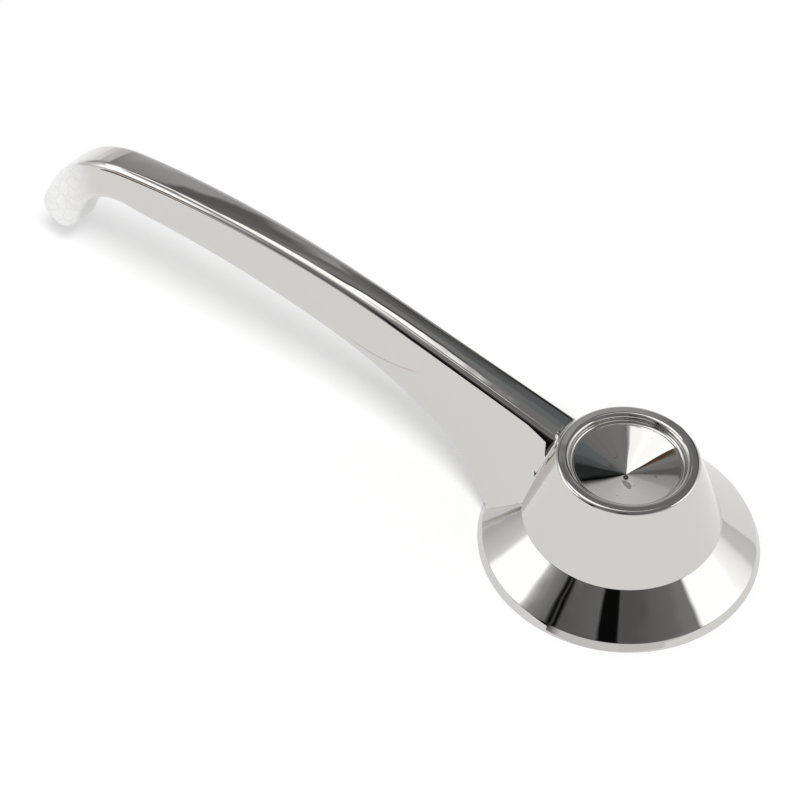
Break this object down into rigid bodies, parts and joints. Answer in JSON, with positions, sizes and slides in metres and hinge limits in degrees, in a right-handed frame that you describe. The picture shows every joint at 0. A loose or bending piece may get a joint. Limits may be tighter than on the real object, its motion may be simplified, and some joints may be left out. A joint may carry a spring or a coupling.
{
  "type": "car interior door handle",
  "caption": "Chromed inside door lever for a vehicle: an arched lever with a hooked tip on a round flanged hub with a dished centre, made to press onto a serrated spindle.",
  "frame": {"origin": "centre of the hub's door face, on the spindle axis", "axes": "+Z along the spindle axis away from the door, the lever along -X, +Y completes the right-handed frame"},
  "size_m": [0.1504, 0.0462, 0.0278],
  "materials": {
    "chromed_casting": "polished chrome plate on a zinc die casting",
    "spring_steel": "plain oiled spring steel"
  },
  "bodies": {
    "root": {"handle": "chromed_casting", "retaining_clip": "spring_steel"}
  },
  "joints": []
}
